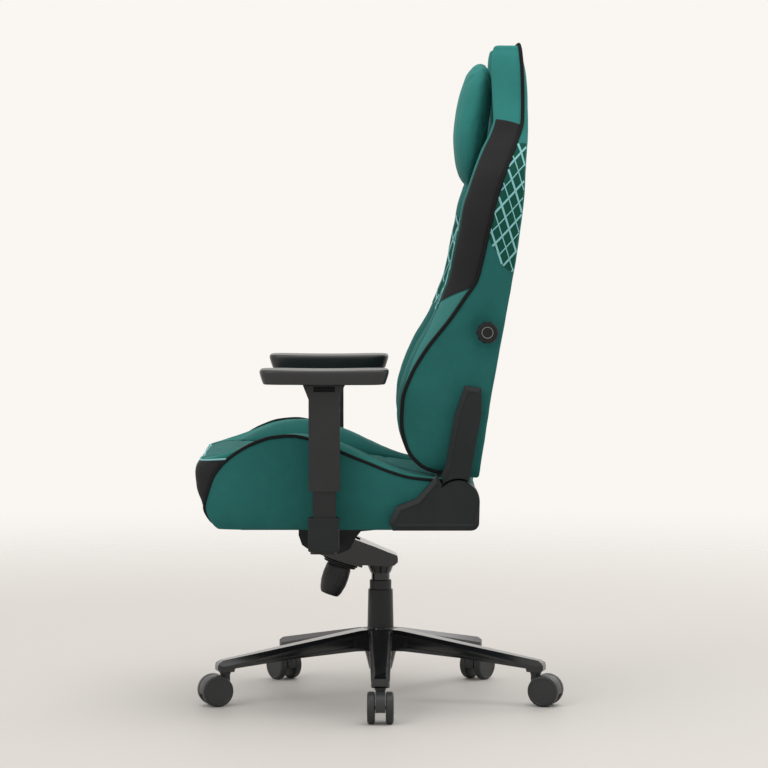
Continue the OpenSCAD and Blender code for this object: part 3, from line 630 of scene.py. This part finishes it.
def build_back_details():
    """The black wing band, light gusset, piping, patterns and stitching on both sides of the back."""
    band_top = lambda u: 1197 - 3 * u - 9 * u ** 2
    band_bottom = lambda u: 829 + 29 * u ** 1.2
    for name, side in SIDES.items():
        s, z = shared_grid(3.0, 3.985, band_bottom, band_top, 16, 90)
        overlay(f"back_band_{name}", back_surface, s, z, BLACK_CLOTH, "back", "black_fabric", 1.2, side)
        s, z = shared_grid(3.0, 3.985, level(560), band_bottom, 16, 70)
        overlay(f"back_gusset_{name}", back_surface, s, z, TEAL_LIGHT, "back", "teal_fabric", 0.5, side)
        heights = np.arange(BACK_BOTTOM + 6, BACK_TOP - 4, 5)
        p, n = back_surface(np.full(heights.shape, 4.0), heights)
        line = p + n * 1.2
        top = line[-1]
        over = np.linspace(0, 1, 30)[1:]
        bend = [[top[0] * (1 - t), top[1] - 2, BACK_TOP + 5 - 3 * (1 - t) ** 6] for t in over]
        path = np.concatenate([line, bend]) * [side, 1, 1]
        tube(f"back_piping_{name}", path, 3.8, PIPING, "back")
        w, u = np.meshgrid(np.linspace(0, 1, 60), np.linspace(0, 1, 16), indexing="ij")
        z = PATTERN_LOW + 1 + (PATTERN_HIGH - PATTERN_LOW - 1) * w
        y = pattern_front(z) + (pattern_rear(z) - pattern_front(z)) * u
        overlay(f"side_pattern_{name}", back_surface, *side_panel_place(y, z), LATTICE_DARK, "back",
                "pattern_fabric", 0.5, side)
        s, z = shared_grid(WING_IN, 2.97, level(WING_LOW), level(WING_HIGH), 30, 40)
        overlay(f"wing_pattern_{name}", back_surface, s, z, LATTICE_DARK, "back", "pattern_fabric", 0.5,
                side)
        lattice(f"side_lattice_{name}", side_panel_place, side_panel_inside, 24, 1.0, side)
        lattice(f"wing_lattice_{name}", wing_place, wing_inside, 20, 1.3, side)
        seams = []
        for at in (0.965, 1.035):
            p, n = back_surface(np.full(heights.shape, at), heights)
            seams.append((p + n * 0.3) * [side, 1, 1])
        stitches(f"back_stitching_{name}", seams, THREAD, "back")


# ---------------------------------------------------------------- seat: surface

# Profiles of the seat by station v as (y, z), from the bottom of the front (0), over the top, to the
# rear edge (21)
CENTRE_PROFILE = [(-322, 376), (-344, 392), (-357, 430), (-369, 466), (-368, 494), (-358, 510), (-342, 520),
                  (-300, 525), (-250, 521), (-200, 516), (-150, 510), (-100, 504), (-50, 498), (0, 492),
                  (42, 486), (85, 480), (120, 474), (150, 474), (176, 466), (194, 442), (194, 410),
                  (182, 378)]
CREST_PROFILE = [(-322, 376), (-344, 392), (-356, 428), (-368, 458), (-371, 487), (-363, 508), (-345, 517),
                 (-305, 521), (-262, 541), (-215, 557), (-168, 564), (-120, 557), (-72, 543), (-28, 521),
                 (12, 503), (59, 488), (105, 480), (150, 475), (176, 466), (194, 442), (194, 410),
                 (182, 378)]
EDGE_PROFILE = [(-320, 377), (-340, 394), (-352, 420), (-345, 450), (-334, 481), (-314, 508), (-290, 528),
                (-255, 548), (-216, 561), (-180, 564), (-140, 557), (-100, 541), (-60, 523.5), (-21, 508),
                (19, 492), (59, 480.5), (99, 476), (150, 472), (176, 464), (193, 441), (193, 410),
                (181, 378)]
FOOT_LINE = [-318, -324, -318, -304, -290, -276, -256, -230, -196, -166, -132, -96, -58, -20, 20, 60,
             100, 138, 160, 174, 178, 179]
EDGE_HALF = [234, 240, 246, 251, 255, 258, 260, 261, 262, 262, 262, 262, 262, 262, 262, 262, 262, 261,
             260, 259, 258, 257]
STATIONS = range(len(FOOT_LINE))
LAST = len(FOOT_LINE) - 1


def profile(points):
    """Smooth y and z of a seat profile by station."""
    return tuple(smooth(list(zip(STATIONS, values))) for values in zip(*points))


centre_at, crest_at, edge_at = profile(CENTRE_PROFILE), profile(CREST_PROFILE), profile(EDGE_PROFILE)
foot_at = smooth(list(zip(STATIONS, FOOT_LINE)))
edge_half = smooth(list(zip(STATIONS, EDGE_HALF)))
SEAT_PANEL, SEAT_CREST, SEAT_FLOOR = 152, 206, 374.5
SEAT_CHANNELS = (7.2, 9.2, 11.2, 13.2)     # stations of the sewn channels
# The hollow under the seat that takes the frame and the tilt housing
RECESS_HALF, RECESS_FRONT, RECESS_REAR, RECESS_TOP = 230, -290, 122, 416


def seat_base(s, v):
    """The seat's side +X: s runs 0-1 over the centre, 1-2 up the bolster, 2-3 over it, 3-4 down the
    side and 4-5 underneath."""
    s, v = np.clip(np.asarray(s, float), 0, 5), np.clip(np.asarray(v, float), 0, LAST)
    s, v = np.broadcast_arrays(s, v)
    i = np.minimum(s.astype(int), 4)
    t = s - i
    quarter = t * math.pi / 2
    half = edge_half(v)
    cy, cz, wy, wz, ey, ez = (f(v) for f in (*centre_at, *crest_at, *edge_at))
    foot = foot_at(v)
    down = t ** 0.9
    stretch = [i == 0, i == 1, i == 2, i == 3]
    x = np.select(stretch,
                  [SEAT_PANEL * t, SEAT_PANEL + (SEAT_CREST - SEAT_PANEL) * (1 - np.cos(quarter)),
                   SEAT_CREST + (half - SEAT_CREST) * np.sin(quarter), half - 10 * t ** 5],
                  (half - 10) * (1 - t))
    y = np.select(stretch,
                  [cy, cy + (wy - cy) * np.sin(quarter), wy + (ey - wy) * (1 - np.cos(quarter)),
                   ey + (foot - ey) * down], foot)
    z = np.select(stretch,
                  [cz, cz + (wz - cz) * np.sin(quarter), wz + (ez - wz) * (1 - np.cos(quarter)),
                   ez + (SEAT_FLOOR - ez) * down], SEAT_FLOOR)
    inside = np.minimum(np.minimum(RECESS_HALF - x, y - RECESS_FRONT), RECESS_REAR - y)
    z = np.where(i == 4, z + (RECESS_TOP - SEAT_FLOOR) * np.clip(inside / 3, 0, 1), z)
    return np.stack([x, y, z], -1)


def seat_puff(s, v):
    """How far the padding stands off the seat's base section, in mm."""
    i = np.minimum(np.asarray(s, float).astype(int), 4)
    t = s - i
    ends = np.clip(v / 2.5, 0, 1) * np.clip((LAST - v) / 4, 0, 1)
    rear = np.clip((17.5 - v) / 3, 0, 1)
    groove = -2.5 * np.exp(-(np.abs(s - 1) / 0.03) ** 2) * rear
    channels = sum(np.exp(-((v - c) / 0.12) ** 2) for c in SEAT_CHANNELS)
    mid = np.select([i == 0, i == 1, i == 2, i == 3],
                    [3.5 * np.cos(t * math.pi / 2) ** 0.7 * rear - 2.5 * channels, 3 * swell(t) * rear,
                     1.5 * swell(t) * rear, 7 * swell(t)], 0.0)
    return (mid + groove) * ends


def seat_surface(s, v):
    """The padded surface of the seat: points and outward normals."""
    p, n = outward(seat_base, s, v, 4, 1e-7)
    return p + n * (seat_puff(s, v) + wrinkle(p, 60, 1.1) * np.clip((4 - s) * 4, 0, 1))[..., None], n


def build_seat():
    """The seat's padded cover, with the hollow for the frame underneath."""
    p = seat_surface(*np.meshgrid(ring_stations([28, 16, 16, 26, 20]), np.linspace(0, LAST, 190)))[0]
    p[:, 0, 0] = p[:, -1, 0] = 0
    return closed_loft("seat_upholstery", p, TEAL_SIDE, "seat")


def build_seat_details():
    """The black wedge, a light cord laid along its top seam as a painted highlight, piping and stitching on
    both sides, and the dark lining below.
    """
    top = lambda u: 5.3 + 0.3 * u
    for name, side in SIDES.items():
        s, v = shared_grid(2.02, 2.985, level(0.9), top, 14, 50)
        overlay(f"seat_wedge_{name}", seat_surface, s, v, BLACK_CLOTH, "seat", "black_fabric", 0.9, side)
        s, v = shared_grid(2.0, 2.985, top, level(16.6), 14, 120)
        # the bolster tops take the lighter teal: painted sheen
        overlay(f"seat_bolster_top_{name}", seat_surface, s, v, TEAL, "seat", "teal_fabric", 0.5, side)
        run = np.linspace(0.6, 16.6, 150)
        p, n = seat_surface(np.full(run.shape, 3.0), run)
        tube(f"seat_piping_{name}", (p + n * 0.8) * [side, 1, 1], 3.2, PIPING, "seat")
        # a light cord along the wedge's top seam: a painted highlight standing for light catching the seam
        highlight_stations = np.linspace(0, 2.94, 60)
        p, n = seat_surface(highlight_stations, 5.2 + 0.3 * np.clip(highlight_stations - 2, 0, 1))
        tube(f"seat_seam_highlight_{name}", (p + n * 0.9) * [side, 1, 1], 1.8, LATTICE_LINE, "seat")
        seams = []
        for at in (0.965, 1.035):
            p, n = seat_surface(np.full(run.shape, at), run)
            seams.append((p + n * 0.3) * [side, 1, 1])
        across = np.linspace(2.05, 2.95, 20)
        p, n = seat_surface(across, top(across - 2) + 0.12)
        seams.append((p + n * 0.8) * [side, 1, 1])
        stitches(f"seat_stitching_{name}", seams, THREAD, "seat")
    s, v = np.meshgrid(np.linspace(4.03, 5.97, 40), np.linspace(0.4, LAST - 0.3, 60))
    mirrored = np.where(s > 5, 10 - s, s)
    p = seat_surface(mirrored, v)[0]
    p[..., 0] *= np.where(s > 5, -1, 1)
    p[..., 2] -= 0.7
    mesh_object("seat_underside", p.reshape(-1, 3), grid_faces(*s.shape), LINING, "seat")


# ---------------------------------------------------------------- head pillow

# The pillow's front and rear by height, in mm
PILLOW_LOW, PILLOW_HIGH, PILLOW_HALF = 1054, 1311, 134
pillow_front = smooth([(PILLOW_LOW, 180), (1060, 172), (1076, 165), (1113, 155.5), (1160, 152),
                       (1204, 156), (1245, 164), (1279, 175), (1300, 182.5), (PILLOW_HIGH, 189)])
pillow_rear = smooth([(PILLOW_LOW, 182), (1060, 188), (1072, 194), (1123, 209), (1184, 219),
                      (1234, 224.5), (1285, 227), (1300, 225.5), (PILLOW_HIGH, 217)])


def build_pillow():
    """A stuffed cushion, inflated by a cloth simulation from a slightly slimmer form."""
    slim = 3
    low, high = PILLOW_LOW - 2 * slim, PILLOW_HIGH + slim
    rows = []
    for k in (1 - np.cos(np.linspace(0.12, math.pi - 0.12, 44))) / 2:
        z = low + (high - low) * k
        width = PILLOW_HALF * (1 - abs(2 * k - 1) ** 4) ** 0.35
        front, rear = float(pillow_front(z)), float(pillow_rear(z))
        middle, deep = (front + rear) / 2, max((rear - front) / 2 - slim, 2)
        a = np.linspace(0, 2 * math.pi, 72, endpoint=False)
        c, s = np.cos(a), np.sin(a)
        x, y = width * np.sign(c) * np.abs(c) ** 0.55, middle + deep * np.sign(s) * np.abs(s) ** 0.8
        rows.append(np.stack([x, y, np.full(a.shape, z)], 1))
    points, faces = skin(rows, (0, len(rows) - 1))
    pillow = mesh_object("head_pillow_cushion", points, faces, TEAL_PILLOW, None)
    inflate(pillow, voxel=5, pressure=4, cap=5)
    add_modifier(pillow, "SUBSURF", levels=1, render_levels=1)
    apply_modifiers(pillow)
    shade_smooth(pillow.data)
    pull_seams(pillow)
    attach(pillow, "pillow")
    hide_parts("head_pillow")


def inflate(piece, voxel, pressure, cap):
    """Runs Blender's cloth with pressure on a closed piece for 20 frames; no point moves more than
    cap millimetres."""
    add_modifier(piece, "REMESH", mode="VOXEL", voxel_size=voxel * MM)
    apply_modifiers(piece)
    rest = read_points(piece.data)
    cloth = add_modifier(piece, "CLOTH")
    cloth.settings.use_pressure = True
    cloth.settings.uniform_pressure_force = pressure
    cloth.settings.effector_weights.gravity = 0
    cloth.settings.tension_stiffness = 25
    cloth.settings.bending_stiffness = 0.8
    scene = bpy.context.scene
    for number in range(1, 21):
        scene.frame_set(number)
    apply_modifiers(piece)
    step = read_points(piece.data) - rest
    size = np.linalg.norm(step, axis=1, keepdims=True)
    step *= np.minimum(1, cap * MM / np.maximum(size, 1e-9))
    write_points(piece.data, rest + step)
    scene.frame_set(1)


def pull_seams(pillow):
    """Draws the pillow in along two upright seams, one near each end."""
    co = read_points(pillow.data)
    middle = co.mean(0)
    for seam in (-0.098, 0.098):
        near = np.exp(-((co[:, 0] - seam) / 0.005) ** 2)
        co[:, 1] += np.sign(middle[1] - co[:, 1]) * near * 0.0012
    write_points(pillow.data, co)


# ---------------------------------------------------------------- armrests, covers and knobs


POCKET_X, POCKET_Y, POCKET_DEPTH = 30.4, 56, 4.3        # the pad's pocket over its slide, half sizes
# (share of height, of half width and of half length) of the pad's sections, from the bottom up
PAD_SECTIONS = [(0.0, 0.86, 0.935), (0.04, 0.875, 0.945), (0.30, 0.93, 0.966), (0.55, 0.975, 0.986),
                (0.78, 1.0, 1.0), (0.86, 0.995, 0.998), (0.93, 0.97, 0.99), (0.98, 0.93, 0.975)]


def build_arm_pad(name):
    """A soft moulded pad: crowned on top, rounded in plan, with a chamfered underside."""
    low, high = box_mm(f"arm_pad_{name}")
    middle, half = (low + high) / 2, (high - low) / 2
    rows = []
    a = np.linspace(0, 2 * math.pi, 120, endpoint=False)
    c, s = np.cos(a), np.sin(a)
    plan = np.stack([np.sign(c) * np.abs(c) ** 0.42, np.sign(s) * np.abs(s) ** 0.28], 1)
    for up, wide, long in PAD_SECTIONS:
        x, y = plan[:, 0] * half.x * wide, plan[:, 1] * half.y * long
        dip = 2.0 * np.cos(y / half.y * math.pi / 2) ** 2 * up ** 3
        z = np.full(a.shape, low.z + (high.z - low.z) * up) - dip
        rows.append(np.stack([middle.x + x, middle.y + y, z], 1))
    for share in (0.96, 0.8, 0.55, 0.3, 0.1):
        x, y = plan[:, 0] * half.x * 0.93 * share, plan[:, 1] * half.y * 0.975 * share
        dip = 2.0 * np.cos(y / half.y * math.pi / 2) ** 2 + 0.6 * share ** 2
        rows.append(np.stack([middle.x + x, middle.y + y, high.z - dip * 0.9], 1))
    points, faces = skin(rows, (len(rows) - 1,))
    start = len(points)
    pocket = np.array([[-POCKET_X, -POCKET_Y], [POCKET_X, -POCKET_Y], [POCKET_X, POCKET_Y],
                       [-POCKET_X, POCKET_Y]]) + [middle.x, middle.y]
    for z in (low.z, low.z + POCKET_DEPTH):
        points += list(np.concatenate([pocket, np.full((4, 1), z)], 1))
    faces += [(start + k, start + (k + 1) % 4, start + 4 + (k + 1) % 4, start + 4 + k) for k in range(4)]
    faces.append((start + 7, start + 6, start + 5, start + 4))
    around = len(plan)
    corners = [int(np.argmin(np.linalg.norm(rows[0][:, :2] - corner, axis=1))) for corner in pocket]
    for k in range(4):
        i, stop = corners[k], corners[(k + 1) % 4]
        while i != stop:
            faces.append((i, (i + 1) % around, start + k))
            i = (i + 1) % around
        faces.append((stop, start + (k + 1) % 4, start + k))
    pad = mesh_object(f"arm_cushion_{name}", points, faces, SOFT_TOUCH, f"arm_pad_{name}")
    add_modifier(pad, "SUBSURF", levels=1, render_levels=1)
    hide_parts(f"arm_pad_{name}")


def chamfered_plate(name, outline, x_in, x_out, rim, joint, side, body, drop=1.2, thick=3.0):
    """A cover from its side outline: a wall from x_in, a sloping rim that many mm wide and a face set
    back by drop. Along the round joint between two covers, a (centre, radius), the rim stays narrow."""
    outline = np.asarray(outline, float)
    loops = [(x_in, 0.0), (x_out - rim * 0.55, 0.0), (x_out, rim), (x_out, rim + 2.0),
             (x_out - drop, rim + 4.0)]
    edge = np.roll(outline, -1, 0) - outline
    edge /= np.linalg.norm(edge, axis=1)[:, None]
    normal = np.stack([-edge[:, 1], edge[:, 0]], 1)
    before = np.roll(normal, 1, 0)
    bisector = normal + before
    bisector /= (bisector * normal).sum(1)[:, None].clip(0.35)
    y, z = outline.T
    area = np.sum(y * np.roll(z, -1) - np.roll(y, -1) * z)
    inward = bisector * (1 if area > 0 else -1)
    away = np.abs(np.linalg.norm(outline - joint[0], axis=1) - joint[1])
    share = np.where(away < 1.5, 0.15, 1.0)[:, None]
    points = []
    for x, inset in loops:
        ring = outline + inward * inset * share
        points += [[side * x, y, z] for y, z in ring]
    count = len(outline)
    faces = grid_faces(len(loops), count, closed=True)
    faces.append(tuple(range((len(loops) - 1) * count, len(loops) * count)))
    start = len(points)
    inner = outline + inward * thick
    points += [[side * x, y, z] for x in (x_in, x_out - thick - 6) for y, z in inner]
    faces += [(k, start + k, start + (k + 1) % count, (k + 1) % count) for k in range(count)]
    faces += grid_faces(2, count, closed=True, start=start)
    faces.append(tuple(range(start + count, start + 2 * count)))
    piece = mesh_object(name, points, faces, COVER, body, shade=False)
    soften(piece, 1.0, 3, 25)
    return piece


def arc(centre, radius, start, end, steps):
    """Points (y, z) on an arc; angles in degrees from +Y towards +Z."""
    angles = np.radians(np.linspace(start, end, steps))
    return [(centre[0] + radius * math.cos(a), centre[1] + radius * math.sin(a)) for a in angles]


def build_covers():
    """The lower and upper covers of the recline hinge, which part along an arc round it."""
    hinge = next(j for j in frame["joints"] if j["name"] == "recline")["pos_m"]
    centre = (hinge[1] / MM, hinge[2] / MM)
    joint = (np.array(centre), HINGE_ROUND + 0.75)
    lower = [(17, 391), (32, 424), (72, 440), (95, 466), (112, 487), (124, 466),
             *arc(centre, HINGE_ROUND, 139, 0, 18), (197, 396), *arc((181, 392), 16, 0, -90, 6), (26, 376)]
    upper = [(121, 486), (130, 506), (148, 608), (168, 665), (201, 660), (201, 608), (190, 550),
             (178, 480), *arc(centre, HINGE_ROUND + 1.5, 63, 132, 10)]
    for name, side in SIDES.items():
        x_in, x_out = sorted(abs(corner.x) for corner in box_mm(f"side_cover_{name}"))
        piece = chamfered_plate(f"hinge_cover_{name}", lower, x_in, x_out, 9, joint, side, "seat")
        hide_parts(f"side_cover_{name}")
        piece = chamfered_plate(f"hinge_arm_cover_{name}", upper, x_in, x_out, 8, joint, side, "back")
        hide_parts(f"back_cover_{name}")


def build_knob_rings():
    """A plain light ring let into the face of each lumbar knob."""
    for name, side in SIDES.items():
        low, high = box_mm(f"lumbar_knob_{name}")
        middle, face = (low + high) / 2, max(abs(low.x), abs(high.x))
        circle = [[side * (face - 0.3), y, z] for y, z in arc((middle.y, middle.z), 11, 0, 352.5, 48)]
        tube(f"lumbar_ring_{name}", circle, 0.9, RING, f"lumbar_knob_{name}", closed=True)


def dress_cad():
    """Materials and softened edges for the CAD nodes that stay in view."""
    looks = {
        "base_star": (CASTING, 1.6), "gas_tube": (TUBE_PAINT, 0.5), "guide_bush": (PLASTIC, 0.4),
        "thrust_bearing": (STEEL, 0), "piston_rod": (STEEL, 0), "pressure_tube": (TUBE_PAINT, 0),
        "tilt_housing": (CASTING, 2.0), "tension_collar": (PLASTIC, 0.6), "tension_spring": (STEEL, 0),
        "tension_knob": (PLASTIC, 0.6), "tension_bolt": (STEEL, 0), "pivot_bushes": (BUSH, 0),
        "pivot_axle": (STEEL, 0.5), "tilt_bracket": (FRAME_PAINT, 0.8), "height_lever_rod": (STEEL, 0),
        "lock_lever_rod": (STEEL, 0), "height_lever_handle": (PLASTIC, 0.8),
        "lock_lever_handle": (PLASTIC, 0.8),
        "seat_frame": (FRAME_PAINT, 1.5), "seat_webbing": (BLACK_CLOTH, 0), "seat_bolts": (STEEL, 0.4),
        "recliner_plates": (FRAME_PAINT, 0.5), "recline_rod": (STEEL, 0), "recline_lever": (PLASTIC, 1.0),
        "back_frame": (FRAME_PAINT, 0), "lumbar_carriage": (FRAME_PAINT, 0.5),
        "lumbar_plate": (FRAME_PAINT, 0.5),
    }
    for s in SIDES:
        looks |= {f"arm_bracket_{s}": (COVER, 2.5), f"arm_post_{s}": (TUBE_PAINT, 2.5),
                  f"arm_sleeve_{s}": (PLASTIC, 2.5), f"arm_button_{s}": (BUTTON, 1.2),
                  f"arm_swivel_{s}": (FRAME_PAINT, 0.3), f"arm_slide_{s}": (FRAME_PAINT, 0.5),
                  f"lumbar_knob_{s}": (KNOB_PLASTIC_SHADED, 0.8)}
    for i in range(1, 6):
        looks |= {f"caster_fork_{i}": (NYLON, 1.2), f"caster_wheels_{i}": (NYLON, 0.6)}
    for node, (look, edge) in looks.items():
        piece = frame["nodes"][node]
        if not piece.data.materials:
            piece.data.materials.append(look)
        for k in range(len(piece.material_slots)):
            piece.material_slots[k].material = look
        if edge:
            add_modifier(piece, "WELD", merge_threshold=0.00002)
            add_modifier(piece, "BEVEL", width=edge * MM, segments=3, limit_method="ANGLE",
                         angle_limit=math.radians(32), use_clamp_overlap=True)
            add_modifier(piece, "WEIGHTED_NORMAL")


# ---------------------------------------------------------------- scene


def build_stage():
    """A pale floor that fades into the background, soft lights and the camera."""
    scene = bpy.context.scene
    bpy.ops.mesh.primitive_circle_add(vertices=96, radius=6, fill_type="NGON")
    floor = bpy.context.object
    floor.name = "studio_floor"
    m = Shader("floor")
    m.material.blend_method = "BLEND"
    distance = m.node("ShaderNodeVectorMath", {0: m.place}, operation="LENGTH").outputs["Value"]
    limits = {"Value": distance, "From Min": 1.2, "From Max": 4.5, "To Min": 1.0, "To Max": 0.0}
    fade_out = m.node("ShaderNodeMapRange", limits, interpolation_type="SMOOTHSTEP")
    m.link(fade_out.outputs["Result"], "Alpha")
    m.set(Base_Color=(0.575, 0.555, 0.535, 1), Roughness=0.55, Specular_IOR_Level=0.2)
    floor.data.materials.append(m.material)
    world = bpy.data.worlds.new("studio")
    world.use_nodes = True
    background = world.node_tree.nodes["Background"]
    background.inputs["Color"].default_value = (0.955, 0.925, 0.888, 1)
    background.inputs["Strength"].default_value = 1.0
    scene.world = world
    lights = [("key", (3.2, -2.6, 3.4), 2.4, 45), ("top", (0.4, 0.6, 3.6), 2.8, 40),
              ("rim", (-3.0, 2.4, 2.6), 2.0, 25)]
    for name, place, size, power in lights:
        data = bpy.data.lights.new(name, "AREA")
        data.size, data.energy = size, power
        lamp = bpy.data.objects.new(name, data)
        lamp.location = place
        lamp.rotation_euler = (Vector((0, 0, 0.7)) - Vector(place)).to_track_quat("-Z", "Y").to_euler()
        scene.collection.objects.link(lamp)
    camera = bpy.data.objects.new("camera", bpy.data.cameras.new("camera"))
    camera.data.lens = 166.25
    camera.data.sensor_width = 36
    camera.data.clip_end = 100
    eye, target = Vector((7.317, 0.007, 1.066)), Vector((0, 0.0072, 0.6527))
    camera.location = eye
    camera.rotation_euler = (target - eye).to_track_quat("-Z", "Y").to_euler()
    scene.collection.objects.link(camera)
    scene.camera = camera
    scene.view_settings.view_transform = "Standard"


build_stage()
dress_cad()
back = build_back()
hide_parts("back_cushion")
build_back_details()
seat = build_seat()
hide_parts("seat_cushion")
build_seat_details()
build_pillow()
for side_name in SIDES:
    build_arm_pad(side_name)
build_covers()
build_knob_rings()
